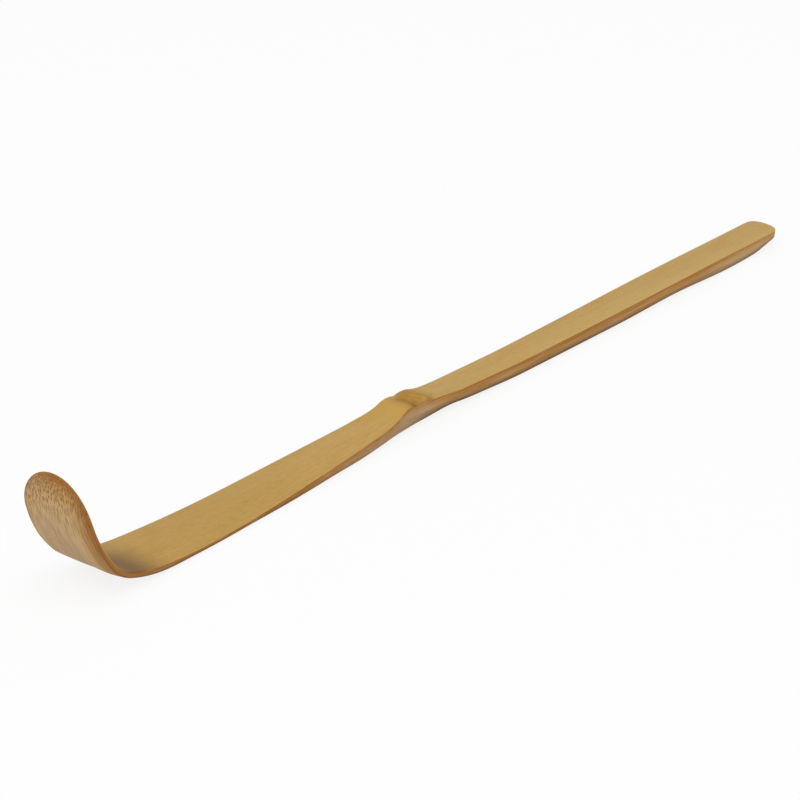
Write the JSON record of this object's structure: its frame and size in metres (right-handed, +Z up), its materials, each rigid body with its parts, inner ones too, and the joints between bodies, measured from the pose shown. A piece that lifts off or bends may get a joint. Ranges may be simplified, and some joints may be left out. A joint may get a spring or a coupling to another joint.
{
  "type": "bamboo tea scoop",
  "caption": "Slender bamboo tea scoop (chashaku): carved handle with a raised node at mid-length, a widening front part and an upturned, rounded scooping tip for powdered tea.",
  "frame": {"origin": "centre of the bounding box on the plane that the scoop rests on", "axes": "+X along the strip from the scooping tip to the tail, +Y across the strip, +Z up, out of the skin"},
  "size_m": [0.1694, 0.0122, 0.0189],
  "materials": {
    "bamboo": "ochre bamboo, skin lightly polished, carved sides and underside matt"
  },
  "bodies": {
    "root": {"scoop": "bamboo"}
  },
  "joints": []
}
